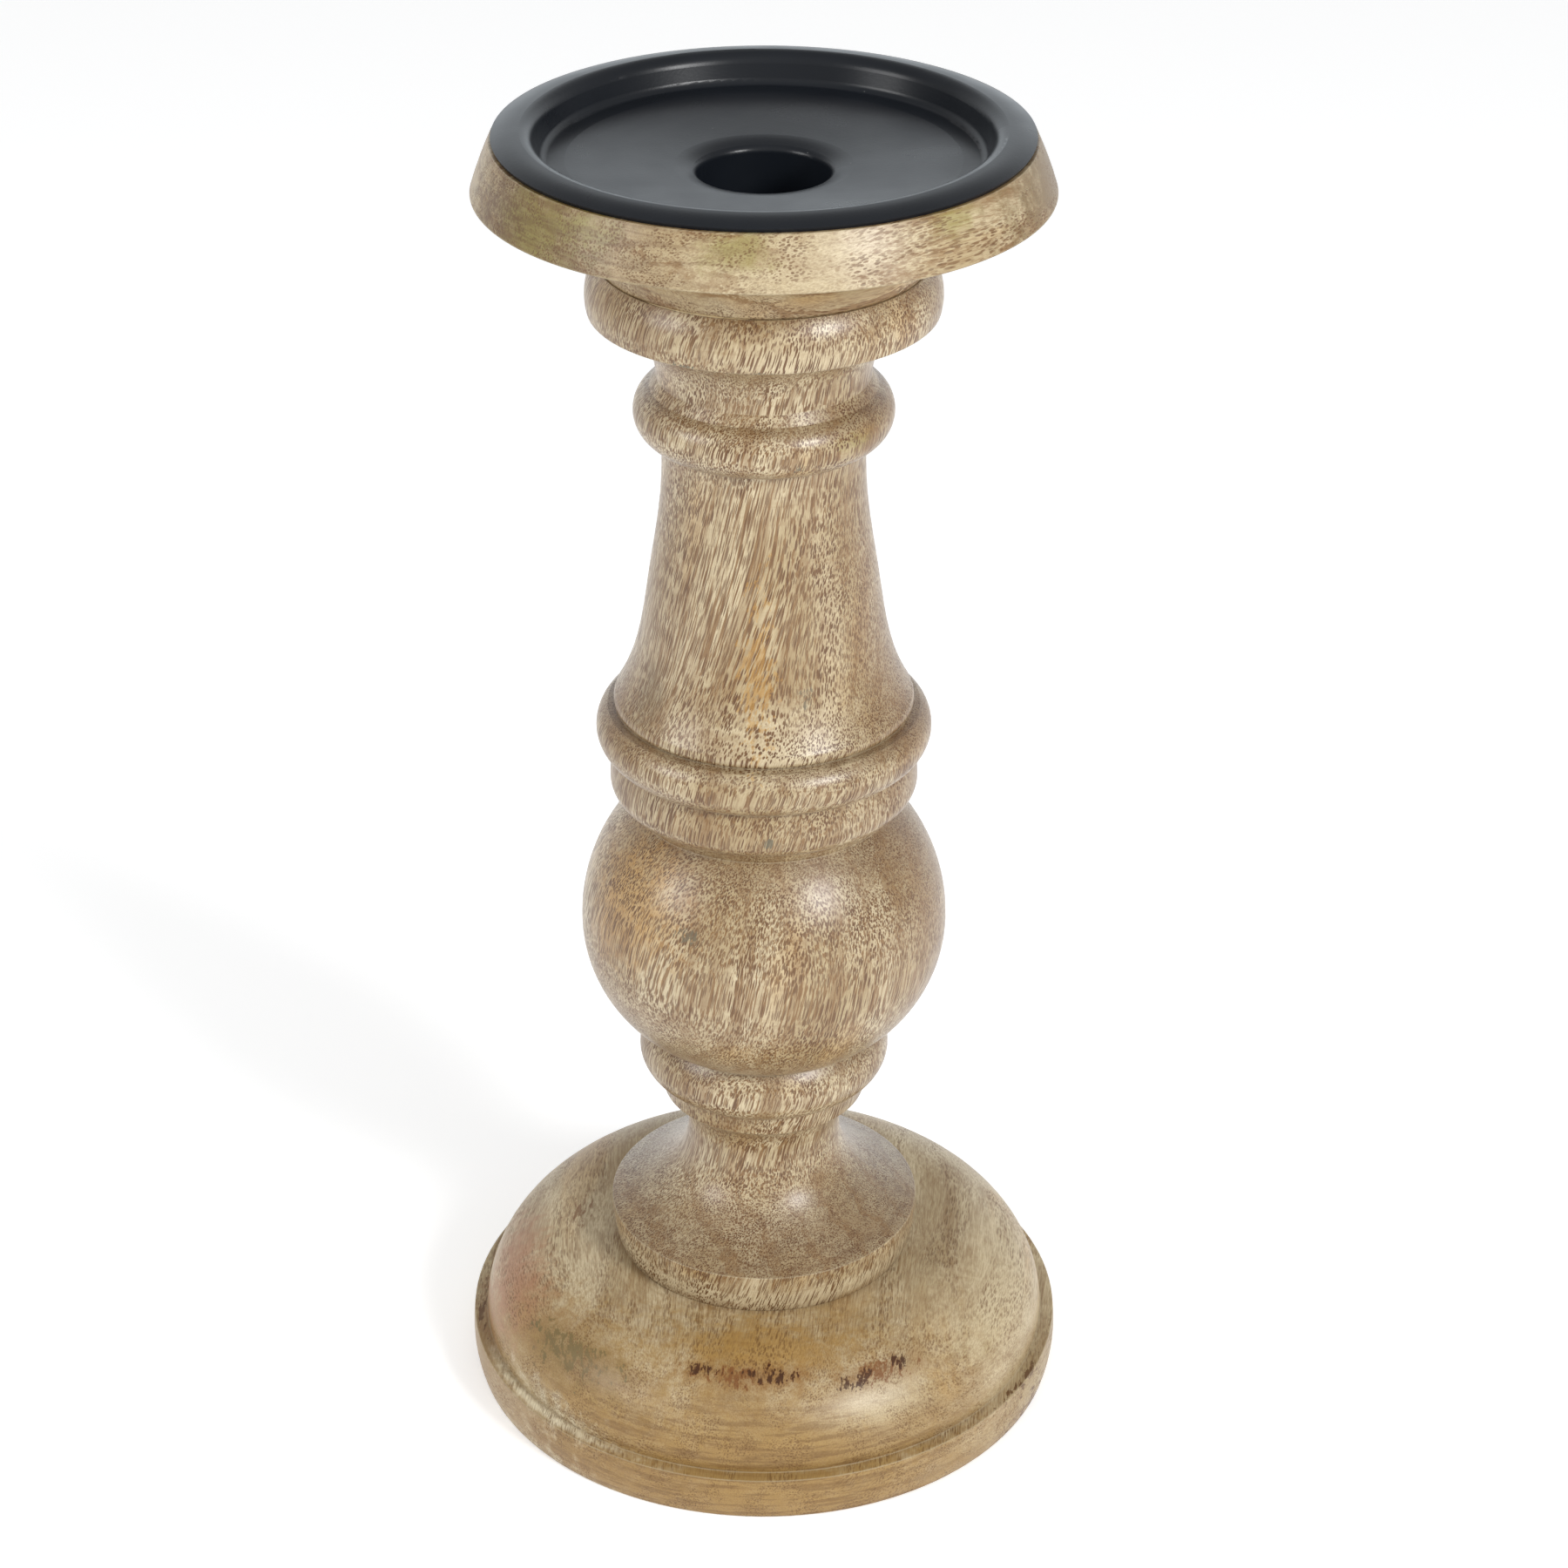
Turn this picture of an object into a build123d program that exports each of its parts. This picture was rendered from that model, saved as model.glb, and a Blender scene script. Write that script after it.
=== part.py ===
from build123d import *
import math
import os

# Turned wooden candlestick with a drop-in pressed steel candle plate.
# Millimetres, +Z up. The origin is on the stem's axis, at table level.
# Every outline is a half section of (radius, height) points, revolved about Z.

# ---------------------------------------------------------------- driving sizes
TOTAL_HEIGHT = 300.0        # table to the top of the plate's flange
CANDLE_DIAMETER = 25.0      # taper candle that the socket is made for
CANDLE_PLAY = 2.0           # how much wider the socket is than that candle
SOCKET_DEPTH = 21.5         # from the plate's seat to the socket's floor
SHEET = 0.9                 # steel thickness of the plate
GLUE_GAP = 0.05             # radial gap in the glued mortise
PLATE_GAP = 0.6             # gap beside the drop-in plate
PLATE_FLOOR_GAP = 0.3       # gap under its floor
SOCKET_FLOOR_GAP = 1.2      # gap under its socket

# ---------------------------------------------------------------- heights of the stack
PAD_PROUD = 0.3             # how far the felt stands below the wooden rim
DOME_TOP = 31.6             # flat top of the base, where the stem's foot stands
SEAM = TOTAL_HEIGHT - 27.8  # top of the stem's collar, where the dish stands
FLOOR = TOTAL_HEIGHT - 6.5  # candle side of the plate's seat
DISH_TOP = TOTAL_HEIGHT - 2.1

# ---------------------------------------------------------------- base
RIM_RADIUS = 68.7
RIM_TOP = 10.8
LEDGE_WIDTH = 3.3
RIM_LOW = (RIM_RADIUS - 0.9, PAD_PROUD)
RIM_WIDEST = (RIM_RADIUS, 6.5)
RIM_HIGH = (RIM_RADIUS - 0.3, RIM_TOP)
DOME_RADIUS = RIM_RADIUS - LEDGE_WIDTH
DOME_ROUND = DOME_TOP - RIM_TOP         # the dome's side is a quarter circle
RELIEF_RADIUS = 61.0
RELIEF_DEPTH = 2.0

# ---------------------------------------------------------------- foot tenon, screw and washer
TENON_RADIUS = 12.0
MORTISE_DEPTH = 14.0
TENON_END_GAP = 0.4
WEB = 9.0                   # wood left between the mortise and the counterbore
COUNTERBORE_RADIUS = 11.0
SCREW_RADIUS = 3.0          # M6-size wood screw
SCREW_LENGTH = 60.0
SCREW_PLAIN = 18.0          # unthreaded length under the head
SCREW_HEAD_RADIUS = 6.0
SCREW_HEAD_HEIGHT = 3.4
SCREW_HEAD_SIDE = 1.36      # straight side of the head, below its dome
SCREW_PITCH = 2.5
SCREW_CLEARANCE = 0.3
WASHER_RADIUS = 9.0
WASHER_THICKNESS = 1.6
WASHER_CHAMFER = 0.2

# ---------------------------------------------------------------- dish screws and felt pads
DISH_SCREW_COUNT = 2
DISH_SCREW_CIRCLE = 22.0
DISH_SCREW_RADIUS = 2.0     # 4 mm countersunk wood screw
DISH_SCREW_LENGTH = 32.0
DISH_SCREW_PLAIN = 12.0
DISH_SCREW_HEAD_RADIUS = 4.0
DISH_SCREW_PITCH = 1.8
PAD_COUNT = 4
PAD_RADIUS = 8.0
PAD_CIRCLE = 48.0
PAD_BEARING = 45            # degrees from +X to the first pad
PAD_CHAMFER = 0.3

# ---------------------------------------------------------------- candle plate
SEAT_INNER, SEAT_OUTER = 40.0, 43.6     # flat ring that a pillar candle stands on
FLOOR_SLOPE = 4.3           # degrees; inside the ring the floor falls towards the socket,
MOUTH_RADIUS = 12.5         # then bends down slowly
MOUTH_TURN = 22             # to this many degrees,
LIP_RADIUS = 1.5            # and turns down tightly into the socket
ROLL_RADIUS = 3.0           # from the flange's crown down to the wall
WALL_LEAN = 14              # degrees from upright
CORNER_RADIUS = 1.8         # foot of the wall
SOCKET_CORNER = 1.5
PLATE_WALL_RADIUS = 46.2    # inside of the wall, below the roll

# ---------------------------------------------------------------- wood screws in general
# Shares of the screw's outer radius, or of its pitch for the ridges.
SHANK_SHARE = 0.92          # plain shank
ROOT_SHARE = 0.75           # between the thread's ridges
POINT_SHARE = 2.5           # length of the conical point
RIDGE_START, RIDGE_FOOT, RIDGE_CREST = 0.1, 0.5, 0.8
THREAD_CLEARANCE = 0.05     # radial gap between the ridges and the pilot hole
PILOT_REST = 1.0            # depth of the pilot hole beyond the point
CROSS_WIDTH = 1.1           # arms of the cross recess
CROSS_TAPER = 10            # degrees
STEM_CROSS_LENGTH, STEM_CROSS_DEPTH = 6.0, 2.0
DISH_CROSS_LENGTH, DISH_CROSS_DEPTH = 4.4, 1.7

# ---------------------------------------------------------------- worked-out places
RELIEF_Z = PAD_PROUD + RELIEF_DEPTH
MORTISE_FLOOR = DOME_TOP - MORTISE_DEPTH
WEB_UNDERSIDE = MORTISE_FLOOR - WEB
WASHER_UNDERSIDE = WEB_UNDERSIDE - WASHER_THICKNESS
TENON_END = MORTISE_FLOOR + TENON_END_GAP
SOCKET_RADIUS = (CANDLE_DIAMETER + CANDLE_PLAY) / 2
SOCKET_FLOOR = FLOOR - SOCKET_DEPTH
WELL_RADIUS = SOCKET_RADIUS + SHEET + PLATE_GAP      # bore in the wood for the socket
WELL_MOUTH = 2.4                                     # chamfer that clears the socket's rolled mouth
WELL_FLOOR = SOCKET_FLOOR - SHEET - SOCKET_FLOOR_GAP
RECESS_RADIUS = PLATE_WALL_RADIUS + SHEET + PLATE_GAP
SLOPE_SINE, MOUTH_SINE = math.sin(math.radians(FLOOR_SLOPE)), math.sin(math.radians(MOUTH_TURN))
LIP_START = SOCKET_RADIUS + LIP_RADIUS * (1 - MOUTH_SINE)
MOUTH_START = LIP_START + MOUTH_RADIUS * (MOUTH_SINE - SLOPE_SINE)
MOUTH_HEIGHT = FLOOR - (SEAT_INNER - MOUTH_START) * math.tan(math.radians(FLOOR_SLOPE))
RECESS_FLOOR = MOUTH_HEIGHT - SHEET - PLATE_FLOOR_GAP
STEM_SCREW_POINT = WASHER_UNDERSIDE + SCREW_LENGTH
DISH_SCREW_POINT = RECESS_FLOOR - DISH_SCREW_LENGTH
UPSIDE_DOWN = (180, 0, 0)

os.makedirs("parts", exist_ok=True)


def bead(low, widest, high):
    """Draw a turned bead: two arcs that meet upright at its widest point."""
    TangentArc(widest, low, tangent=(0, -1))
    TangentArc(widest, high, tangent=(0, 1))


def threaded_rod(radius, start, length, plain, pitch):
    """Give the half section points of a plain shank, thread ridges and a point.

    The rod runs up from height start. Its ridges are rings, with no helix.
    """
    root = ROOT_SHARE * radius
    shank = SHANK_SHARE * radius
    tip = POINT_SHARE * radius
    ridges = int((length - plain - tip) / pitch)
    points = [(shank, start), (shank, start + plain)]
    for ridge in range(ridges):
        foot = start + plain + ridge * pitch
        points.append((root, foot + RIDGE_START * pitch))
        points.append((root, foot + RIDGE_FOOT * pitch))
        points.append((radius, foot + RIDGE_CREST * pitch))
    points.append((root, start + length - tip))
    points.append((0, start + length))
    return points


def save(piece, name):
    """Label a finished piece and write it as its own STEP file."""
    piece.part.label = name
    export_step(piece.part, f"parts/{name}.step")


# ---------------------------------------------------------------- base
with BuildPart() as base:
    with BuildSketch(Plane.XZ):
        with BuildLine():
            Line((0, RELIEF_Z), (RELIEF_RADIUS - RELIEF_DEPTH, RELIEF_Z))
            Line((RELIEF_RADIUS - RELIEF_DEPTH, RELIEF_Z), (RELIEF_RADIUS, PAD_PROUD))
            Line((RELIEF_RADIUS, PAD_PROUD), RIM_LOW)
            bead(RIM_LOW, RIM_WIDEST, RIM_HIGH)
            Line(RIM_HIGH, (DOME_RADIUS, RIM_TOP))
            JernArc((DOME_RADIUS, RIM_TOP), (0, 1), DOME_ROUND, 90)
            Line((DOME_RADIUS - DOME_ROUND, DOME_TOP), (0, DOME_TOP))
            Line((0, DOME_TOP), (0, RELIEF_Z))
        make_face()
    revolve(axis=Axis.Z)
    with Locations((0, 0, DOME_TOP)):
        Hole(TENON_RADIUS + GLUE_GAP, depth=MORTISE_DEPTH)
    with Locations(Location((0, 0, RELIEF_Z), UPSIDE_DOWN)):
        CounterBoreHole(
            SCREW_RADIUS + SCREW_CLEARANCE,
            COUNTERBORE_RADIUS,
            WEB_UNDERSIDE - RELIEF_Z,
        )
save(base, "base")

# ---------------------------------------------------------------- stem
# One turning from the foot to the collar. Points are (radius, height).
FOOT_LOW = (34.0, DOME_TOP)
FOOT_SIDE = (35.1, 37.0)
FOOT_TOP = (35.3, 41.6)
ANKLE = (17.3, 62.5)                    # thinnest place, above the foot
FILLET_EDGE = (22.9, 72.3)
RING_LOW, RING_WIDEST, RING_HIGH = (23.9, 77.2), (28.2, 83.2), (25.7, 89.9)
BALL_WIDEST, BALL_HIGH = (40.6, 117.0), (28.4, 146.0)
HOOP_LOW, HOOP_WIDEST, HOOP_HIGH = (30.4, 149.0), (33.6, 153.0), (32.4, 159.8)
TORUS_WIDEST, TORUS_HIGH = (36.4, 165.3), (33.9, 170.4)
LIP_UNDER, LIP_WIDEST, LIP_OVER = (32.0, 170.8), (32.5, 172.0), (31.8, 174.0)
BELL_WAIST, BELL_SHOULDER = (28.3, 182.0), (24.3, 202.8)
BELL_THROAT, BELL_TOP = (22.0, 218.0), (21.4, 229.5)
BUTTON_LOW, BUTTON_WIDEST, BUTTON_HIGH = (21.8, 232.8), (27.3, 239.1), (23.9, 244.7)
NECK = (22.4, 247.0)
COLLAR_LOW, COLLAR_WIDEST, COLLAR_HIGH = (36.4, 261.7), (36.8, 264.8), (34.3, SEAM)

with BuildPart() as stem:
    with BuildSketch(Plane.XZ):
        with BuildLine():
            Polyline((0, TENON_END), (TENON_RADIUS, TENON_END), (TENON_RADIUS, DOME_TOP), FOOT_LOW)
            ThreePointArc(FOOT_LOW, FOOT_SIDE, FOOT_TOP)
            Spline(FOOT_TOP, ANKLE, FILLET_EDGE, tangents=[(-0.91, 0.41), (0, 1), (0.9, 0.43)])
            Line(FILLET_EDGE, RING_LOW)
            bead(RING_LOW, RING_WIDEST, RING_HIGH)
            bead(RING_HIGH, BALL_WIDEST, BALL_HIGH)
            Line(BALL_HIGH, HOOP_LOW)
            bead(HOOP_LOW, HOOP_WIDEST, HOOP_HIGH)
            bead(HOOP_HIGH, TORUS_WIDEST, TORUS_HIGH)
            Line(TORUS_HIGH, LIP_UNDER)
            bead(LIP_UNDER, LIP_WIDEST, LIP_OVER)
            Spline(LIP_OVER, BELL_WAIST, BELL_SHOULDER, BELL_THROAT, BELL_TOP)
            Line(BELL_TOP, BUTTON_LOW)
            bead(BUTTON_LOW, BUTTON_WIDEST, BUTTON_HIGH)
            Line(BUTTON_HIGH, NECK)
            TangentArc(NECK, COLLAR_LOW, tangent=(0, 1))
            bead(COLLAR_LOW, COLLAR_WIDEST, COLLAR_HIGH)
            Polyline(COLLAR_HIGH, (0, SEAM), (0, TENON_END))
        make_face()
    revolve(axis=Axis.Z)
    with Locations((0, 0, SEAM)):
        Hole(WELL_RADIUS, depth=SEAM - WELL_FLOOR)
        with PolarLocations(DISH_SCREW_CIRCLE, DISH_SCREW_COUNT):
            Hole(
                DISH_SCREW_RADIUS + THREAD_CLEARANCE,
                depth=SEAM - DISH_SCREW_POINT + PILOT_REST,
            )
    with Locations(Location((0, 0, TENON_END), UPSIDE_DOWN)):
        Hole(
            SCREW_RADIUS + THREAD_CLEARANCE,
            depth=STEM_SCREW_POINT - TENON_END + PILOT_REST,
        )
save(stem, "stem")

# ---------------------------------------------------------------- dish
DISH_FOOT = (33.9, SEAM)
DISH_COVE = (42.0, SEAM + 9.4)
DISH_EDGE = (59.2, SEAM + 15.2)         # sharp lower edge of the flared band
DISH_BAND = (57.5, SEAM + 20.1)
DISH_LIP = (55.1, DISH_TOP)

with BuildPart() as dish:
    with BuildSketch(Plane.XZ):
        with BuildLine():
            Line((0, SEAM), DISH_FOOT)
            Spline(DISH_FOOT, DISH_COVE, DISH_EDGE, tangents=[(0.2, 1), (0.8, 0.5), (1, 0.15)])
            ThreePointArc(DISH_EDGE, DISH_BAND, DISH_LIP)
            Line(DISH_LIP, (RECESS_RADIUS, DISH_TOP))
            Line((RECESS_RADIUS, DISH_TOP), (RECESS_RADIUS, RECESS_FLOOR))
            Polyline((RECESS_RADIUS, RECESS_FLOOR), (0, RECESS_FLOOR), (0, SEAM))
        make_face()
    revolve(axis=Axis.Z)
    with Locations((0, 0, RECESS_FLOOR)):
        CounterSinkHole(WELL_RADIUS, WELL_RADIUS + WELL_MOUTH, counter_sink_angle=90)
        with PolarLocations(DISH_SCREW_CIRCLE, DISH_SCREW_COUNT):
            CounterSinkHole(
                DISH_SCREW_RADIUS + THREAD_CLEARANCE,
                DISH_SCREW_HEAD_RADIUS + THREAD_CLEARANCE,
                counter_sink_angle=90,
            )
save(dish, "dish")

# ---------------------------------------------------------------- candle plate
# One pressing. The outline is its candle side, thickened downwards by the sheet.
FLANGE_EDGE = (54.7, DISH_TOP + 0.85)
FLANGE_CROWN = (49.0, TOTAL_HEIGHT)
SOCKET_SIDE_FOOT = (SOCKET_RADIUS, SOCKET_FLOOR + SOCKET_CORNER)

with BuildPart() as candle_plate:
    with BuildSketch(Plane.XZ):
        with BuildLine():
            TangentArc(FLANGE_CROWN, FLANGE_EDGE, tangent=(1, 0))
            roll = JernArc(FLANGE_CROWN, (-1, 0), ROLL_RADIUS, 90 - WALL_LEAN)
            corner = JernArc((SEAT_OUTER, FLOOR), (1, 0), CORNER_RADIUS, 90 - WALL_LEAN)
            Line(roll @ 1, corner @ 1)
            Line((SEAT_OUTER, FLOOR), (SEAT_INNER, FLOOR))
            slope = Line((SEAT_INNER, FLOOR), (MOUTH_START, MOUTH_HEIGHT))
            mouth = JernArc(slope @ 1, slope % 1, MOUTH_RADIUS, MOUTH_TURN - FLOOR_SLOPE)
            lip = JernArc(mouth @ 1, mouth % 1, LIP_RADIUS, 90 - MOUTH_TURN)
            Line(lip @ 1, SOCKET_SIDE_FOOT)
            JernArc(SOCKET_SIDE_FOOT, (0, -1), SOCKET_CORNER, -90)
            Line((SOCKET_RADIUS - SOCKET_CORNER, SOCKET_FLOOR), (0, SOCKET_FLOOR))
            offset(amount=SHEET, side=Side.RIGHT)
        make_face()
    revolve(axis=Axis.Z)
save(candle_plate, "candle_plate")

# ---------------------------------------------------------------- stem screw and its washer
# The screw goes up through the base's web into the stem's end grain.
with BuildPart() as stem_screw:
    with BuildSketch(Plane.XZ):
        with BuildLine():
            rod = threaded_rod(SCREW_RADIUS, WASHER_UNDERSIDE, SCREW_LENGTH, SCREW_PLAIN, SCREW_PITCH)
            Polyline(rod)
            rim = (SCREW_HEAD_RADIUS, WASHER_UNDERSIDE - SCREW_HEAD_SIDE)
            crown = (0, WASHER_UNDERSIDE - SCREW_HEAD_HEIGHT)
            Polyline(rod[0], (SCREW_HEAD_RADIUS, WASHER_UNDERSIDE), rim)
            TangentArc(crown, rim, tangent=(1, 0))
            Line(crown, rod[-1])
        make_face()
    revolve(axis=Axis.Z)
    with BuildSketch(Plane.XY.offset(WASHER_UNDERSIDE - SCREW_HEAD_HEIGHT)):
        Rectangle(STEM_CROSS_LENGTH, CROSS_WIDTH)
        Rectangle(CROSS_WIDTH, STEM_CROSS_LENGTH)
    extrude(amount=STEM_CROSS_DEPTH, taper=CROSS_TAPER, mode=Mode.SUBTRACT)
save(stem_screw, "stem_screw")

with BuildPart() as stem_screw_washer:
    with BuildSketch(Plane.XY.offset(WASHER_UNDERSIDE)):
        Circle(WASHER_RADIUS)
        Circle(SCREW_RADIUS + SCREW_CLEARANCE, mode=Mode.SUBTRACT)
    extrude(amount=WASHER_THICKNESS)
    outer_edges = stem_screw_washer.edges().filter_by(GeomType.CIRCLE).sort_by(SortBy.RADIUS)[-2:]
    chamfer(outer_edges, WASHER_CHAMFER)
save(stem_screw_washer, "stem_screw_washer")

# ---------------------------------------------------------------- dish screws
# Countersunk screws under the plate, driven down through the dish into the collar.
DISH_SCREW_HEAD_HEIGHT = DISH_SCREW_HEAD_RADIUS - SHANK_SHARE * DISH_SCREW_RADIUS

with BuildPart() as dish_screw:
    with BuildSketch(Plane.XZ):
        with BuildLine():
            rod = threaded_rod(
                DISH_SCREW_RADIUS,
                DISH_SCREW_HEAD_HEIGHT,
                DISH_SCREW_LENGTH - DISH_SCREW_HEAD_HEIGHT,
                DISH_SCREW_PLAIN,
                DISH_SCREW_PITCH,
            )
            Polyline((0, 0), (DISH_SCREW_HEAD_RADIUS, 0), *rod)
            Line(rod[-1], (0, 0))
        make_face()
    revolve(axis=Axis.Z)
    with BuildSketch(Plane.XY):
        Rectangle(DISH_CROSS_LENGTH, CROSS_WIDTH)
        Rectangle(CROSS_WIDTH, DISH_CROSS_LENGTH)
    extrude(amount=DISH_CROSS_DEPTH, taper=CROSS_TAPER, mode=Mode.SUBTRACT)

with BuildPart() as dish_screws:
    with Locations(Location((0, 0, RECESS_FLOOR), UPSIDE_DOWN)):
        with PolarLocations(DISH_SCREW_CIRCLE, DISH_SCREW_COUNT):
            add(dish_screw.part)
save(dish_screws, "dish_screws")

# ---------------------------------------------------------------- felt pads
with BuildPart() as felt_pads:
    with BuildSketch(Plane.XY):
        with PolarLocations(PAD_CIRCLE, PAD_COUNT, start_angle=PAD_BEARING):
            Circle(PAD_RADIUS)
    extrude(amount=RELIEF_Z)
    chamfer(felt_pads.edges().group_by(Axis.Z)[0], PAD_CHAMFER)
save(felt_pads, "felt_pads")
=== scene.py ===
import math
import random
from collections import namedtuple

import bmesh
import bpy
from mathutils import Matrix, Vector


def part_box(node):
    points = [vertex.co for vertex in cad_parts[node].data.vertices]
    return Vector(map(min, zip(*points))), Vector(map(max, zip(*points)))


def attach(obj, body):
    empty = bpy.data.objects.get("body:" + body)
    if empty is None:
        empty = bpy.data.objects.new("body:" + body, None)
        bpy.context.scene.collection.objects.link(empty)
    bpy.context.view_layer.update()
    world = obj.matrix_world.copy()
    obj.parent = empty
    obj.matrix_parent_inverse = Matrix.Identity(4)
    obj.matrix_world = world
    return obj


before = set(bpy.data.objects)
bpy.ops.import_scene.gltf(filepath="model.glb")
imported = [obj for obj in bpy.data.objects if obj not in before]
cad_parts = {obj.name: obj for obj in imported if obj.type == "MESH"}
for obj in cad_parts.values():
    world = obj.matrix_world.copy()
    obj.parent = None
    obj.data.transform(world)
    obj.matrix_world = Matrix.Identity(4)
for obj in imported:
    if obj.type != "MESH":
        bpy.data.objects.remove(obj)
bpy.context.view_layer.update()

MM = 0.001
UP = Vector((0, 0, 1))

# ------------------------------------------------------------------ places, from the frame
# Lengths in Blender are in metres. The materials work in millimetres, and so do the marks on
# the wood. A bearing is in degrees: 0 faces the camera and 90 is the right.
base_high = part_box("base")[1]
dish_low, dish_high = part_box("dish")
plate_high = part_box("candle_plate")[1]
MIDDLE = 0.5 * plate_high.z * UP
RIM = base_high.x / MM                  # radius of the base
DOME_TOP = base_high.z / MM             # height where the stem stands on the base
DISH_FOOT = dish_low.z / MM
DISH_TOP = dish_high.z / MM


def up_stem(share):
    """The height at a share of the way up the stem, from the base to the dish."""
    return DOME_TOP + share * (DISH_FOOT - DOME_TOP)


def towards(bearing, climb=0):
    """The direction at a bearing and a climb above level, both in degrees."""
    azimuth, elevation = math.radians(bearing), math.radians(climb)
    return Vector((
        math.sin(azimuth) * math.cos(elevation),
        -math.cos(azimuth) * math.cos(elevation),
        math.sin(elevation),
    ))


def rgb(red, green, blue):
    """Turn an sRGB colour of 0 to 255 into the linear RGBA that a shader takes."""
    def linear(value):
        share = value / 255
        return share / 12.92 if share <= 0.04045 else ((share + 0.055) / 1.055) ** 2.4
    return (linear(red), linear(green), linear(blue), 1.0)


SCATTER = 0.8                   # how far the points of a cell pattern stray from a grid
GROOVE_SAMPLES, EDGE_SAMPLES = 8, 6


class Tree:
    """A short way to write the node tree of a material or of the world."""

    def __init__(self, owner):
        owner.use_nodes = True
        self.owner = owner
        self.nodes = owner.node_tree.nodes
        self.links = owner.node_tree.links
        self.shader = self.nodes.get("Principled BSDF")

    def put(self, socket, value):
        """Link a node's output to a socket, or set the socket to a plain value."""
        if isinstance(value, bpy.types.NodeSocket):
            self.links.new(value, socket)
        elif value is not None:
            socket.default_value = value

    def maths(self, operation, a, b=None):
        """Blender's maths node, on one or two numbers."""
        node = self.nodes.new("ShaderNodeMath")
        node.operation = operation
        self.put(node.inputs[0], a)
        self.put(node.inputs[1], b)
        return node.outputs[0]

    def vector(self, operation, a, b=None, scale=None):
        """Blender's vector maths node. It gives a number for a length or a dot product."""
        node = self.nodes.new("ShaderNodeVectorMath")
        node.operation = operation
        self.put(node.inputs[0], a)
        self.put(node.inputs[1], b)
        if scale is not None:
            node.inputs["Scale"].default_value = scale
        return node.outputs["Value"] if operation in ("LENGTH", "DOT_PRODUCT") else node.outputs[0]

    def length(self, x, y):
        """The length of a flat vector."""
        return self.vector("LENGTH", self.join(x, y, 0.0))

    def surface(self, what):
        """One of Blender's coordinates: Object is the place and Normal the surface's normal."""
        node = self.nodes.new("ShaderNodeTexCoord")
        return node.outputs[what]

    def millimetres(self):
        """The point's place in the piece's own axes, in millimetres."""
        return self.vector("SCALE", self.surface("Object"), scale=1 / MM)

    def turned(self, vector, angles, shift):
        """The vector turned by three angles and then shifted."""
        node = self.nodes.new("ShaderNodeMapping")
        node.vector_type = "POINT"
        self.put(node.inputs["Vector"], vector)
        node.inputs["Location"].default_value = shift
        node.inputs["Rotation"].default_value = angles
        return node.outputs[0]

    def noise(self, vector, stretch, detail=2, rough=0.5, colour=False):
        """Noise of 0 to 1, with stretch cycles per unit of the vector along each axis."""
        node = self.nodes.new("ShaderNodeTexNoise")
        self.put(node.inputs["Vector"], self.vector("MULTIPLY", vector, stretch))
        node.inputs["Scale"].default_value = 1.0
        node.inputs["Detail"].default_value = detail
        node.inputs["Roughness"].default_value = rough
        return node.outputs["Color"] if colour else node.outputs["Fac"]

    def cells(self, vector, stretch):
        """Distance to the nearest of many scattered points, and a random number for each."""
        node = self.nodes.new("ShaderNodeTexVoronoi")
        self.put(node.inputs["Vector"], self.vector("MULTIPLY", vector, stretch))
        node.inputs["Scale"].default_value = 1.0
        node.inputs["Randomness"].default_value = SCATTER
        return node.outputs["Distance"], self.parts(node.outputs["Color"])[0]

    def ramp(self, value, low, high, start=0.0, end=1.0, smooth=True):
        """Carry a value from low..high to start..end, held at the ends. Low may be the larger."""
        node = self.nodes.new("ShaderNodeMapRange")
        node.interpolation_type = "SMOOTHSTEP" if smooth else "LINEAR"
        self.put(node.inputs["Value"], value)
        node.inputs["From Min"].default_value = low
        node.inputs["From Max"].default_value = high
        node.inputs["To Min"].default_value = start
        node.inputs["To Max"].default_value = end
        return node.outputs["Result"]

    def mix(self, share, a, b, blend="MIX"):
        """Colour a with a share of colour b blended over it."""
        node = self.nodes.new("ShaderNodeMix")
        node.data_type = "RGBA"
        node.blend_type = blend
        colour_a, colour_b = [socket for socket in node.inputs if socket.type == "RGBA"]
        self.put(node.inputs["Factor"], share)
        self.put(colour_a, a)
        self.put(colour_b, b)
        return [socket for socket in node.outputs if socket.type == "RGBA"][0]

    def parts(self, vector):
        """The x, y and z of a vector."""
        node = self.nodes.new("ShaderNodeSeparateXYZ")
        self.put(node.inputs[0], vector)
        return node.outputs

    def join(self, x, y, z):
        """A vector from its x, y and z."""
        node = self.nodes.new("ShaderNodeCombineXYZ")
        for socket, value in zip(node.inputs, (x, y, z)):
            self.put(socket, value)
        return node.outputs[0]

    def bump(self, height, depth, below=None):
        """Tilt the surface by a height of 0 to 1 that is depth metres deep."""
        node = self.nodes.new("ShaderNodeBump")
        node.inputs["Strength"].default_value = 1.0
        node.inputs["Distance"].default_value = depth
        self.put(node.inputs["Height"], height)
        if below is not None:
            self.put(node.inputs["Normal"], below)
        return node.outputs[0]

    def crease(self, reach):
        """1 in the open, falling towards 0 deep in a groove."""
        node = self.nodes.new("ShaderNodeAmbientOcclusion")
        node.samples = GROOVE_SAMPLES
        node.inputs["Distance"].default_value = reach
        return node.outputs["AO"]

    def softened(self, reach):
        """The surface's normal, rounded off within reach of a sharp edge."""
        node = self.nodes.new("ShaderNodeBevel")
        node.samples = EDGE_SAMPLES
        node.inputs["Radius"].default_value = reach
        return node.outputs["Normal"]

    def finish(self, inputs):
        """Set the shader's inputs by name and return the material."""
        for name, value in inputs.items():
            self.put(self.shader.inputs[name], value)
        return self.owner


def new_material(name):
    return Tree(bpy.data.materials.new(name))


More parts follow.
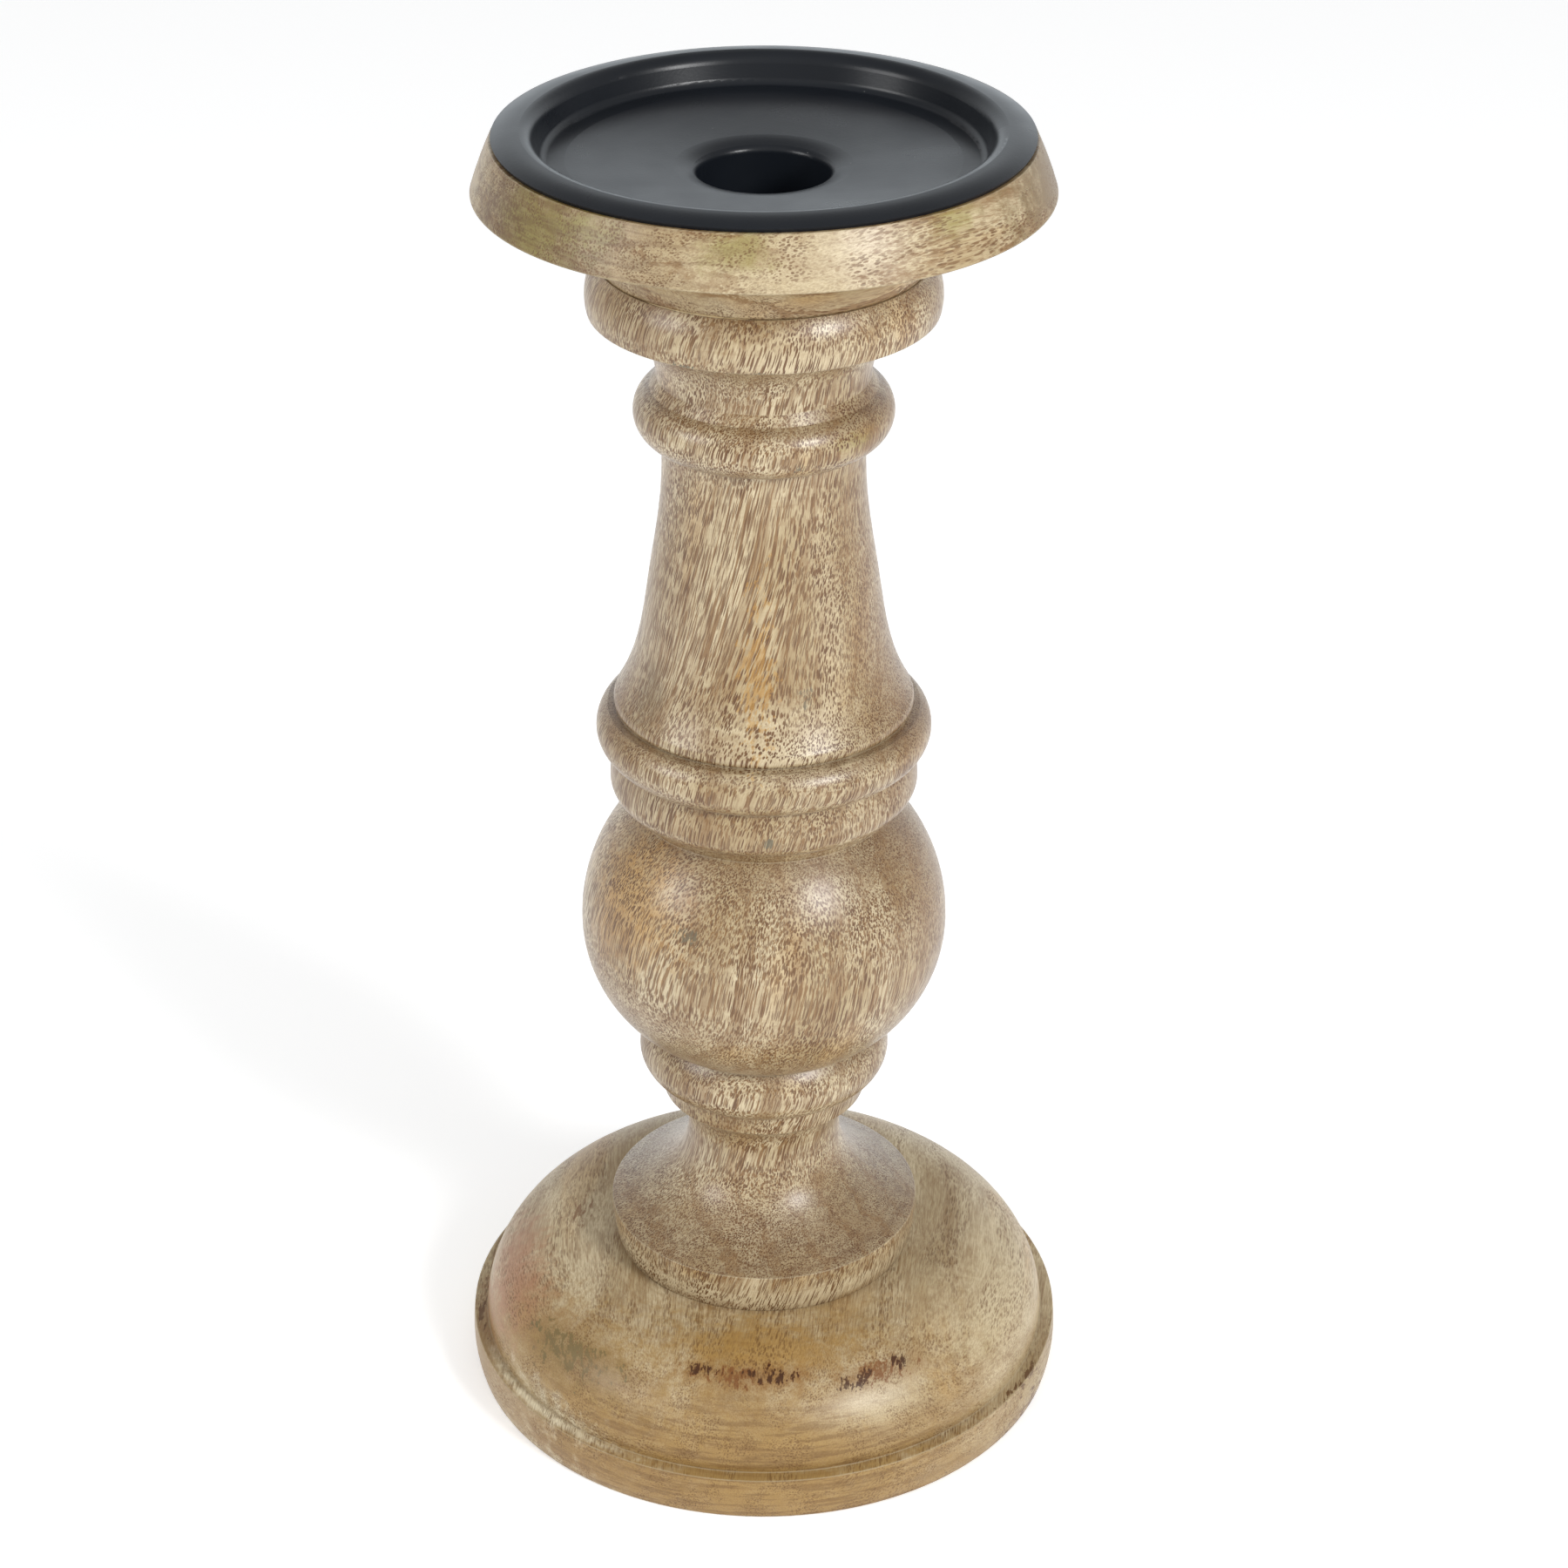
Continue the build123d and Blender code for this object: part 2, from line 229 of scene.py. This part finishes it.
# ------------------------------------------------------------------ wood
CREAM = rgb(201, 186, 153)
TAN = rgb(170, 151, 114)
BROWN = rgb(123, 89, 48)
PORE = rgb(90, 57, 26)
END_GRAIN = rgb(144, 128, 100)
GOLDEN = rgb(158, 128, 76)
OCHRE = rgb(188, 146, 82)
AMBER = rgb(174, 130, 56)
RUST = rgb(118, 74, 36)
GREY = rgb(96, 88, 68)
ROSE = rgb(164, 114, 88)
MAROON = rgb(62, 32, 10)
CHALK = rgb(220, 210, 182)
MOSS = rgb(140, 132, 66)
OLIVE = rgb(110, 97, 60)
# Tone multiplied into grooves and creases as painted shade.
GROOVE_SHADE_TONE = rgb(150, 118, 76)

# Noise sizes, in cycles per millimetre. Those with two equal numbers and a small one are in
# the log's axes: the small one runs along the grain.
CLOUDS = (0.05, 0.05, 0.018)
WARM_CLOUDS = (0.07, 0.07, 0.02)
FIGURE = (0.3, 0.3, 0.015)
LINES = (2.3, 2.3, 0.04)
DRIFT = (0.035, 0.035, 0.013)
FIBRES = (4.0, 4.0, 0.25)
CROWDS = (0.16, 0.16, 0.03)
RAGGED_EDGES = (0.3, 0.3, 0.3)

DRIFT_WIDTH = 13                # mm that the fibres wander sideways
RINGS_PER_MM = 0.12
RING_WAVER = 1.2                # rings that the figure bends them by
PORE_CORE = 0.28                # a pore is solid this near its cell's middle, in cells
LONG_EDGE, SHORT_EDGE = 0.4, 0.42   # and gone this far out
SHORT_PORE = (1.4, 2)           # short pores are finer by this, across and along the grain
MARK_CORE = 0.1                 # a mark is full this near its middle, as a share of its size
RAGGEDNESS = 0.4                # how far its edge strays, as a share of its size
FLECK_LIMITS = (1.32, 1.55)     # cover plus noise where a fleck begins, and where it is full
END_GRAIN_LIMITS = (0.4, 1.0)   # how squarely the surface cuts the fibres
END_GRAIN_SHARE = 0.75
SMEARS = (1.0, 0.9, 0.5)        # cycles per 10 degrees, per mm of height and of radius
PER_TEN_DEGREES = 0.1
LATHE_MARKS = (1.0, 1.0, 1.0)
LATHE_BANDS = (0.35, 1.5, 1.0)
LATHE_WAVER = 0.02              # how fast both change with the bearing, per degree

# Depths and reaches in millimetres, then the lacquer's roughness over wood and over pores.
PORE_DEPTH, FIBRE_DEPTH, TURNING_DEPTH = 0.05, 0.02, 0.04
# How far sharp edges are rounded off; the pale edges, part wear and part painted highlight, are this
# wide.
EDGE_ROUNDING = 0.6
# How far the painted shade in grooves reaches.
GROOVE_REACH = 2.5
SMOOTH_WOOD, OPEN_PORE = 0.38, 0.6
COAT_ROUGHNESS = 0.34
SPECULAR = 0.3                  # of the lacquer and of the powder coat

# Grain is the direction that the fibres run in. Pith is the place across the grain that the
# growth rings run round, and seed shifts the pattern, all in millimetres from the middle.
# Rings, lines, pores and coat are strengths, and crowding is the least share of the pores.
# Cell is the size of a pore's cell across and along the grain. Fleck is in cycles per mm.
Timber = namedtuple("Timber", "grain pith seed end_tone rings lines pores crowding cell fleck coat")

# A mark is a patch of tone on the turned surface, with a share of the tone at its middle.
# Level is a height, or on the base a radius, and spread (degrees) and reach (mm) are its half
# sizes. Flecked marks only tint fine dashes.
Mark = namedtuple("Mark", "tone share bearing spread level reach flecked", defaults=(False,))


class Spot:
    """Where a shaded point lies, on the turning and in the log that it was cut from."""

    def __init__(self, tree, timber, by_radius):
        place = tree.millimetres()
        x, y, self.height = tree.parts(place)
        self.radius = tree.length(x, y)
        backward = tree.maths("MULTIPLY", y, -1.0)
        self.bearing = tree.maths("DEGREES", tree.maths("ARCTAN2", x, backward))
        self.level = self.radius if by_radius else self.height

        # Fibres run along Z in this turned copy of the place, and wander slowly sideways.
        grain = Vector(timber.grain).normalized()
        turn = grain.rotation_difference(UP).to_euler()
        self.straight = tree.turned(place, turn, (timber.seed, 2 * timber.seed, 0))
        drift = tree.noise(self.straight, DRIFT, detail=1, colour=True)
        drift = tree.vector("SUBTRACT", drift, (0.5, 0.5, 0.5))
        drift = tree.vector("MULTIPLY", drift, (DRIFT_WIDTH, DRIFT_WIDTH, 0))
        self.log = tree.vector("ADD", self.straight, drift)
        self.figure = tree.noise(self.log, FIGURE, detail=3, rough=0.6)

        # End grain shows where the surface cuts across the fibres.
        facing = tree.vector("DOT_PRODUCT", tree.surface("Normal"), grain)
        facing = tree.maths("ABSOLUTE", facing)
        self.ends = tree.ramp(facing, *END_GRAIN_LIMITS, 0.0, END_GRAIN_SHARE)

        # The edges of the marks stray by this, from -1 to 1.
        ragged = tree.noise(place, RAGGED_EDGES, detail=5, rough=0.65)
        self.ragged = tree.ramp(ragged, 0.25, 0.75, -1.0, 1.0, smooth=False)


def cover_of(tree, spot, mark):
    """How strongly a mark covers the point. It fades out slowly towards its ragged edge."""
    across = tree.maths("DIVIDE", tree.maths("SUBTRACT", spot.bearing, mark.bearing), mark.spread)
    along = tree.maths("DIVIDE", tree.maths("SUBTRACT", spot.level, mark.level), mark.reach)
    stray = tree.maths("MULTIPLY", spot.ragged, RAGGEDNESS)
    distance = tree.maths("ADD", tree.length(across, along), stray)
    strongest = 1.0 if mark.flecked else mark.share
    return tree.ramp(distance, 1.0, MARK_CORE, 0.0, strongest)


def ground(tree, spot, timber):
    """The wood's colour between its pores and growth rings."""
    cloud = tree.noise(spot.log, CLOUDS, detail=3)
    warmth = tree.noise(spot.log, WARM_CLOUDS, detail=3)
    lines = tree.noise(spot.log, LINES, rough=0.6)
    colour = tree.mix(tree.ramp(cloud, 0.36, 0.64), CREAM, TAN)
    colour = tree.mix(tree.ramp(warmth, 0.54, 0.72, 0.0, 0.4), colour, OCHRE)
    colour = tree.mix(tree.ramp(spot.figure, 0.46, 0.7, 0.0, 0.25 * timber.lines), colour, BROWN)
    return tree.mix(tree.ramp(lines, 0.52, 0.58, 0.0, 0.75 * timber.lines), colour, BROWN)


def growth_rings(tree, spot, timber):
    """How dark the rings round the pith are. Each darkens slowly and ends at once."""
    pith = (timber.seed + timber.pith[0], 2 * timber.seed + timber.pith[1], 0)
    across, beside, _ = tree.parts(tree.vector("SUBTRACT", spot.log, pith))
    count = tree.maths("MULTIPLY", tree.length(across, beside), RINGS_PER_MM)
    bent = tree.maths("ADD", count, tree.maths("MULTIPLY", spot.figure, RING_WAVER))
    phase = tree.maths("FRACT", bent)
    growth = tree.maths("SUBTRACT", tree.ramp(phase, 0.6, 0.96), tree.ramp(phase, 0.96, 1.0))
    return tree.maths("MULTIPLY", growth, timber.rings)


def add_pores(tree, spot, timber, colour):
    """Two sizes of pore, crowded in some places: dashes on side faces, dots on end grain."""
    crowd = tree.ramp(tree.noise(spot.log, CROWDS), 0.4, 0.6, timber.crowding, 1.0)
    crowd = tree.maths("MULTIPLY", crowd, timber.pores)
    across, along = 1 / timber.cell[0], 1 / timber.cell[1]
    finer, shorter = SHORT_PORE
    long_cells = (across, across, along)
    short_cells = (finer * across, finer * across, shorter * along)
    covers = []
    for cells, edge in ((short_cells, SHORT_EDGE), (long_cells, LONG_EDGE)):
        distance, pick = tree.cells(spot.log, cells)
        cover = tree.ramp(distance, edge, PORE_CORE)
        tone = tree.mix(tree.maths("MULTIPLY", pick, 0.5), PORE, BROWN)
        colour = tree.mix(tree.maths("MULTIPLY", cover, crowd), colour, tone)
        covers.append(cover)
    return colour, tree.maths("MULTIPLY", tree.maths("MAXIMUM", *covers), crowd)


def add_flecks(tree, spot, timber, marks, colour):
    """Dark flecks that run together in the middle of a mark and thin out towards its edge."""
    flecks = tree.noise(spot.straight, timber.fleck, detail=3, rough=0.65)
    flecks = tree.ramp(flecks, 0.3, 0.7, smooth=False)
    for mark in marks:
        crowded = tree.maths("ADD", flecks, cover_of(tree, spot, mark))
        colour = tree.mix(tree.ramp(crowded, *FLECK_LIMITS, 0.0, mark.share), colour, mark.tone)
    return colour


def add_smears(tree, spot, colour):
    """End grain takes the finish in dark smears."""
    around = tree.maths("MULTIPLY", spot.bearing, PER_TEN_DEGREES)
    smears = tree.noise(tree.join(around, spot.height, spot.radius), SMEARS, detail=5, rough=0.65)
    share = tree.maths("MULTIPLY", tree.ramp(smears, 0.45, 0.62, 0.0, 0.6), spot.ends)
    return tree.mix(share, colour, PORE)


def add_edge_wear_highlight_and_groove_shade(tree, colour, rounded):
    """Sharp edges are painted pale, partly as wear and partly as a painted highlight, and grooves are
    darkened with painted shade.
    """
    sharpness = tree.vector("DOT_PRODUCT", rounded, tree.surface("Normal"))
    # Paler near sharp edges: partly wear, partly a painted highlight.
    colour = tree.mix(tree.ramp(sharpness, 0.99, 0.85, 0.0, 0.5), colour, CREAM)
    # Painted shade: darker deep in grooves and creases, where less light reaches.
    painted_groove_shade = tree.ramp(tree.crease(GROOVE_REACH * MM), 0.3, 0.95, 0.25, 0.0)
    return tree.mix(painted_groove_shade, colour, GROOVE_SHADE_TONE, "MULTIPLY")


def add_turning(tree, spot, timber, colour):
    """Turning marks run round the axis on side faces and flats alike."""
    along = tree.maths("ADD", spot.height, spot.radius)
    lathe = tree.join(along, tree.maths("MULTIPLY", spot.bearing, LATHE_WAVER), timber.seed)
    turning = tree.noise(lathe, LATHE_MARKS, detail=4, rough=0.7)
    bands = tree.noise(lathe, LATHE_BANDS)
    colour = tree.mix(tree.ramp(turning, 0.5, 0.7, 0.0, 0.2), colour, BROWN)
    return tree.mix(tree.ramp(bands, 0.5, 0.65, 0.0, 0.15), colour, BROWN), turning


def wood(name, timber, marks, by_radius=False):
    """Lacquered open-pored wood, turned on a lathe. Its marks lie by radius or by height."""
    tree = new_material(name)
    spot = Spot(tree, timber, by_radius)
    colour = tree.mix(spot.ends, ground(tree, spot, timber), timber.end_tone)
    colour = tree.mix(growth_rings(tree, spot, timber), colour, BROWN)
    for mark in marks:
        if not mark.flecked:
            colour = tree.mix(cover_of(tree, spot, mark), colour, mark.tone)
    fibre = tree.noise(spot.log, FIBRES, rough=0.6)
    colour = tree.mix(tree.ramp(fibre, 0.4, 0.62, 0.0, 0.3), colour, BROWN)
    colour, pores = add_pores(tree, spot, timber, colour)
    colour = add_flecks(tree, spot, timber, [mark for mark in marks if mark.flecked], colour)
    colour = add_smears(tree, spot, colour)
    rounded = tree.softened(EDGE_ROUNDING * MM)
    # Pale edges, part wear and part painted highlight, and painted shade in grooves.
    colour = add_edge_wear_highlight_and_groove_shade(tree, colour, rounded)
    colour, turning = add_turning(tree, spot, timber, colour)

    # A negative depth sinks the pores below the surface.
    sunk = tree.bump(pores, -PORE_DEPTH * MM, below=rounded)
    ribbed = tree.bump(fibre, FIBRE_DEPTH * MM, below=sunk)
    return tree.finish({
        "Base Color": colour,
        "Roughness": tree.ramp(pores, 0.0, 1.0, SMOOTH_WOOD, OPEN_PORE),
        "Normal": tree.bump(turning, TURNING_DEPTH * MM, below=ribbed),
        "Specular IOR Level": SPECULAR,
        "Coat Weight": timber.coat,
        "Coat Roughness": COAT_ROUGHNESS,
    })


STEM_LEAN = math.radians(14)    # the stem's fibres lean to the right as they climb
BASE_TIMBER = Timber(
    grain=(0.08, 1, 0), pith=(12, 70), seed=31, end_tone=GOLDEN, rings=0.3, lines=0.5,
    pores=0.5, crowding=0.2, cell=(0.65, 5), fleck=(1.0, 0.6, 0.15), coat=0.15,
)
STEM_TIMBER = Timber(
    grain=(math.sin(STEM_LEAN), 0, math.cos(STEM_LEAN)), pith=(34, 12), seed=7, end_tone=END_GRAIN,
    rings=0.5, lines=1.2, pores=1.0, crowding=0.65, cell=(0.56, 10), fleck=(1.5, 1.5, 0.08), coat=0.8,
)
DISH_TIMBER = Timber(
    grain=(0.75, 0.66, 0), pith=(-66, 75), seed=63, end_tone=TAN, rings=0.8, lines=0.6,
    pores=0.7, crowding=0.2, cell=(0.7, 5), fleck=(1.5, 1.5, 0.12), coat=0.4,
)

# Each list has the broad tints first and the flecks last, in the order that they are laid on.
BASE_MARKS = [
    Mark(GOLDEN, 0.8, 0, 60, RIM - 20.7, 22),
    Mark(AMBER, 0.35, 0, 34, RIM - 21.7, 12),
    Mark(GOLDEN, 0.8, -58, 50, RIM - 6.7, 16),
    Mark(ROSE, 0.7, -80, 28, RIM - 9.7, 11),
    Mark(CREAM, 0.8, 70, 40, RIM - 12.7, 14),
    Mark(CREAM, 0.7, 25, 18, RIM - 7.2, 5),
    Mark(OLIVE, 0.5, -46, 22, RIM - 8.7, 5.5),
    Mark(BROWN, 0.4, -48, 62, RIM + 0.3, 2.6),
    Mark(GOLDEN, 0.9, 0, 70, RIM - 1.7, 5),
    Mark(CHALK, 1.0, -51, 30, RIM - 2.1, 2.4),
    Mark(RUST, 0.5, -3, 25, RIM - 14.2, 4.5),
    Mark(RUST, 0.45, 27, 16, RIM - 11.9, 4.2),
    Mark(RUST, 0.7, -98, 20, RIM - 24.7, 8, True),
    Mark(OLIVE, 0.9, -48, 26, RIM - 9.2, 7.0, True),
    Mark(RUST, 0.9, -4, 30, RIM - 14.2, 5.0, True),
    Mark(RUST, 0.8, 27, 18, RIM - 11.7, 5.0, True),
    Mark(MAROON, 0.9, -14, 10, RIM - 14.7, 2.8, True),
    Mark(MAROON, 1.0, 1, 15, RIM - 14.3, 4.2, True),
    Mark(MAROON, 0.9, 21, 9, RIM - 11.3, 3.6, True),
    Mark(MAROON, 0.9, 33, 6, RIM - 12.3, 3.8, True),
    Mark(PORE, 0.9, 62, 24, RIM - 1.1, 2.2, True),
    Mark(PORE, 0.8, -84, 20, RIM - 1.9, 3.0, True),
]
STEM_MARKS = [
    # Painted shade: these two darken the stem's right and left sides.
    Mark(BROWN, 0.5, 72, 38, up_stem(0.55), 130),
    Mark(BROWN, 0.25, -66, 34, up_stem(0.55), 130),
    # Painted highlight: a pale band down the bell where the right softbox's highlight falls.
    Mark(CREAM, 0.5, 33, 14, up_stem(0.68), 40),
    Mark(GREY, 0.4, -57, 14, up_stem(0.62), 10),
    Mark(MOSS, 0.5, 45, 14, up_stem(0.866), 3.0),
    Mark(OCHRE, 0.6, -52, 34, up_stem(0.42), 20),
    Mark(CREAM, 0.9, 6, 50, up_stem(0.6), 12),
    # Painted light: brightens the side of the foot all round, which lies in shade.
    Mark(CREAM, 0.9, 0, 180, up_stem(0.014), 6),
    Mark(CREAM, 0.9, 6, 34, DISH_FOOT - 8, 8),
    Mark(AMBER, 0.55, -3, 18, up_stem(0.66), 40, True),
    Mark(GREY, 0.8, 18, 9, up_stem(0.636), 4.0, True),
    Mark(GREY, 0.9, -24, 11, up_stem(0.415), 4.5, True),
    Mark(GREY, 0.9, 18, 9, up_stem(0.854), 2.4, True),
    Mark(GREY, 0.9, 1, 12, up_stem(0.507), 2.0, True),
    Mark(GREY, 1.0, -26, 12, DISH_FOOT - 10.3, 1.2, True),
    Mark(GREY, 1.0, -3, 12, DISH_FOOT - 10.6, 1.1, True),
]
DISH_MARKS = [
    Mark(OLIVE, 0.8, -52, 38, DISH_TOP - 6, 20),
    Mark(MOSS, 0.6, -50, 16, DISH_TOP - 6, 12),
    Mark(MOSS, 0.8, -37, 10, DISH_TOP - 2.5, 5),
    Mark(CREAM, 0.8, 8, 36, DISH_TOP - 7, 12),
    Mark(MOSS, 0.7, -5, 10, DISH_TOP - 3, 6),
    Mark(MOSS, 0.6, 40, 9, DISH_TOP - 1.5, 5),
    Mark(OLIVE, 1.0, 82, 38, DISH_TOP - 5, 24),
    # Painted shade: darkens the dish's right side, which the right softbox lights strongly.
    Mark(BROWN, 0.4, 80, 28, DISH_TOP - 6, 18),
    Mark(PORE, 0.6, -64, 26, DISH_TOP - 6, 14, True),
    Mark(BROWN, 0.5, 28, 24, DISH_TOP - 6, 15, True),
]


# ------------------------------------------------------------------ metal, felt and glue
# Noise sizes are in cycles per millimetre, and depths in metres.
BLACK, SOFT_BLACK = rgb(18, 21, 26), rgb(24, 28, 34)
DUST = rgb(150, 150, 146)
DULL_ZINC, BRIGHT_ZINC = rgb(176, 178, 176), rgb(212, 212, 206)
DARK_FELT, PALE_FELT = rgb(52, 40, 30), rgb(98, 80, 62)
CLEAR_GLUE, BROWN_GLUE = rgb(206, 190, 152), rgb(176, 150, 108)


def powder_coat():
    """Satin black powder coat with fine orange peel and a little dust."""
    tree = new_material("black_powder_coat")
    place = tree.millimetres()
    peel = tree.noise(place, (1.6, 1.6, 1.6), detail=3)
    broad = tree.noise(place, (0.06, 0.06, 0.06), detail=3)
    specks, _ = tree.cells(place, (0.16, 0.16, 0.16))
    tone = tree.mix(broad, BLACK, SOFT_BLACK)
    return tree.finish({
        "Base Color": tree.mix(tree.ramp(specks, 0.025, 0.015, 0.0, 0.4), tone, DUST),
        "Roughness": tree.ramp(broad, 0.2, 0.8, 0.26, 0.34),
        "Normal": tree.bump(peel, 0.012 * MM),
        "Specular IOR Level": SPECULAR,
    })


def zinc():
    """Bright zinc plate, lightly brushed."""
    tree = new_material("zinc_plate")
    brushed = tree.noise(tree.millimetres(), (0.4, 0.4, 6), detail=4)
    return tree.finish({
        "Base Color": tree.mix(brushed, DULL_ZINC, BRIGHT_ZINC),
        "Metallic": 1.0,
        "Roughness": tree.ramp(brushed, 0.2, 0.8, 0.26, 0.42),
    })


def felt():
    """Dark brown wool felt."""
    tree = new_material("wool_felt")
    fuzz = tree.noise(tree.millimetres(), (3, 3, 3), detail=5, rough=0.7)
    return tree.finish({
        "Base Color": tree.mix(fuzz, DARK_FELT, PALE_FELT),
        "Roughness": 0.95,
        "Sheen Weight": 0.4,
        "Normal": tree.bump(fuzz, 0.3 * MM),
    })


def glue():
    """Dried wood glue, pale and glossy."""
    tree = new_material("dried_glue")
    cloudy = tree.noise(tree.millimetres(), (0.8, 0.8, 0.8), detail=3)
    return tree.finish({
        "Base Color": tree.mix(cloudy, CLEAR_GLUE, BROWN_GLUE),
        "Roughness": tree.ramp(cloudy, 0.2, 0.8, 0.2, 0.4),
        "Normal": tree.bump(cloudy, 0.05 * MM),
    })


# ------------------------------------------------------------------ glue squeezed from a seam
THREAD = 0.42 * MM              # radius of a thread of glue where it swells fully
THREAD_END = 0.05               # share of that radius that is left at its ends
THREAD_SIDES = 10
STEPS_PER_DEGREE = 3            # of half the thread's spread
BLUNTNESS = 0.7                 # below 1 keeps the thread thick nearly to its ends
LEAST_SWELL = 0.15
MEMORY = 0.6                    # share of the last step's swell that the next one keeps

# Each thread's middle bearing and half its spread, in degrees.
THREADS = {
    "squeezed_glue_front": (-24, 19),
    "squeezed_glue_back": (148, 14),
}


def seam_radius():
    """Radius of the dish's lowest ring, in metres, where it stands on the stem's collar."""
    lowest = [v.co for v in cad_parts["dish"].data.vertices if v.co.z < dish_low.z + 0.01 * MM]
    return max(math.hypot(point.x, point.y) for point in lowest)


def thread_rings(mesh, bearing, spread, dice):
    """Rings of vertices along the seam, of uneven thickness."""
    radius = seam_radius()
    steps = STEPS_PER_DEGREE * spread
    rings = []
    swell = 0.0
    for step in range(steps + 1):
        share = step / steps
        swell = MEMORY * swell + (1 - MEMORY) * dice.uniform(LEAST_SWELL, 1.0)
        thickness = THREAD * (THREAD_END + swell * math.sin(math.pi * share) ** BLUNTNESS)
        outward = towards(bearing + spread * (2 * share - 1))
        centre = outward * radius + dish_low.z * UP
        ring = []
        for side in range(THREAD_SIDES):
            angle = 2 * math.pi * side / THREAD_SIDES
            offset = outward * math.cos(angle) + UP * math.sin(angle)
            ring.append(mesh.verts.new(centre + thickness * offset))
        rings.append(ring)
    return rings


def squeezed_glue(name, bearing, spread, dice, material):
    """A lumpy thread of glue along part of the seam, thinning to nothing at its ends."""
    mesh = bmesh.new()
    rings = thread_rings(mesh, bearing, spread, dice)
    for ring, following in zip(rings, rings[1:]):
        for side in range(THREAD_SIDES):
            after = (side + 1) % THREAD_SIDES
            mesh.faces.new((ring[side], ring[after], following[after], following[side]))
    mesh.faces.new(rings[0][::-1])
    mesh.faces.new(rings[-1])
    bmesh.ops.recalc_face_normals(mesh, faces=mesh.faces)
    for face in mesh.faces:
        face.smooth = True
    data = bpy.data.meshes.new(name)
    mesh.to_mesh(data)
    mesh.free()
    data.materials.append(material)
    piece = bpy.data.objects.new(name, data)
    bpy.context.scene.collection.objects.link(piece)
    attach(piece, "candlestick")


dried_glue = glue()
glue_dice = random.Random(5)
for thread_name, (middle_bearing, half_spread) in THREADS.items():
    squeezed_glue(thread_name, middle_bearing, half_spread, glue_dice, dried_glue)

# ------------------------------------------------------------------ finish of each CAD node
steel = zinc()
FINISHES = {
    "base": wood("base_wood", BASE_TIMBER, BASE_MARKS, by_radius=True),
    "stem": wood("stem_wood", STEM_TIMBER, STEM_MARKS),
    "dish": wood("dish_wood", DISH_TIMBER, DISH_MARKS),
    "candle_plate": powder_coat(),
    "stem_screw": steel,
    "stem_screw_washer": steel,
    "dish_screws": steel,
    "felt_pads": felt(),
}
for node_name, material in FINISHES.items():
    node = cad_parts[node_name]
    node.data.materials.clear()
    node.data.materials.append(material)

# ------------------------------------------------------------------ floor, light and camera
FLOOR_SIZE = 12                 # metres
WHITE = (1, 1, 1, 1)
SKY_WHITE = (0.88, 0.95, 1.0, 1)

# Each softbox: bearing and climb in degrees, side in metres, power in watts.
SOFTBOX_DISTANCE = 1.5
SOFTBOXES = {
    "right_softbox": (43, 30, 0.36, 13.5),
    "left_softbox": (-65, 24, 0.5, 7),
}
EVEN_LIGHT, FRONT_LIGHT, BACK_LIGHT = 0.4, 0.38, 1.1
FRONT_BEARING, FRONT_CLIMB = 5, 35
BACK_BEARING = 180
BACK_LIMITS = (33, 21)          # the light behind fades out between these climbs

CAMERA_BACK = 714.5 * MM
CAMERA_HEIGHT = 547.5 * MM
CAMERA_DROP = 29.12             # degrees below level
SENSOR, LENS = 36, 85.6         # millimetres
LENS_SHIFT = 0.0128             # of the frame's width


def pale_floor():
    """A matt white floor that glows a little, so that it stays pale round the object."""
    tree = new_material("pale_floor")
    return tree.finish({
        "Base Color": rgb(250, 250, 250),
        "Roughness": 0.7,
        "Specular IOR Level": 0.1,
        "Emission Color": WHITE,
        "Emission Strength": 0.3,
    })


def softbox(name, bearing, climb, side, power):
    """A square soft light that faces the object's middle."""
    lamp = bpy.data.lights.new(name, "AREA")
    lamp.size = side
    lamp.energy = power
    holder = bpy.data.objects.new(name, lamp)
    bpy.context.scene.collection.objects.link(holder)
    direction = towards(bearing, climb)
    holder.location = MIDDLE + SOFTBOX_DISTANCE * direction
    holder.rotation_euler = direction.to_track_quat("Z", "Y").to_euler()


def glow(tree, direction, centre):
    """A wide soft light on the sky: 1 at its centre, falling to 0 at right angles to it."""
    facing = tree.vector("DOT_PRODUCT", direction, centre)
    return tree.maths("POWER", tree.maths("MAXIMUM", facing, 0.0), 2)


def studio():
    """A white room: even light, with more of it from the front right and from behind."""
    tree = Tree(bpy.data.worlds.new("studio"))
    direction = tree.vector("NORMALIZE", tree.surface("Generated"))
    front = glow(tree, direction, towards(FRONT_BEARING, FRONT_CLIMB))
    climb = tree.maths("DEGREES", tree.maths("ARCSINE", tree.parts(direction)[2]))
    back = glow(tree, direction, towards(BACK_BEARING))
    back = tree.maths("MULTIPLY", back, tree.ramp(climb, *BACK_LIMITS))
    total = tree.maths("ADD", tree.maths("MULTIPLY", front, FRONT_LIGHT), EVEN_LIGHT)
    total = tree.maths("ADD", tree.maths("MULTIPLY", back, BACK_LIGHT), total)
    background = tree.nodes["Background"]
    tree.put(background.inputs["Color"], tree.mix(back, WHITE, SKY_WHITE))
    tree.put(background.inputs["Strength"], total)
    return tree.owner


bpy.ops.mesh.primitive_plane_add(size=FLOOR_SIZE)
floor = bpy.context.object
floor.name = "floor"
floor.data.materials.append(pale_floor())
for box_name, settings in SOFTBOXES.items():
    softbox(box_name, *settings)
bpy.context.scene.world = studio()
bpy.context.scene.view_settings.view_transform = "Standard"

camera_data = bpy.data.cameras.new("camera")
camera_data.sensor_width = SENSOR
camera_data.lens = LENS
camera_data.shift_x = LENS_SHIFT
camera = bpy.data.objects.new("camera", camera_data)
camera.location = (0, -CAMERA_BACK, CAMERA_HEIGHT)
camera.rotation_euler = (math.radians(90 - CAMERA_DROP), 0, 0)
bpy.context.scene.collection.objects.link(camera)
bpy.context.scene.camera = camera
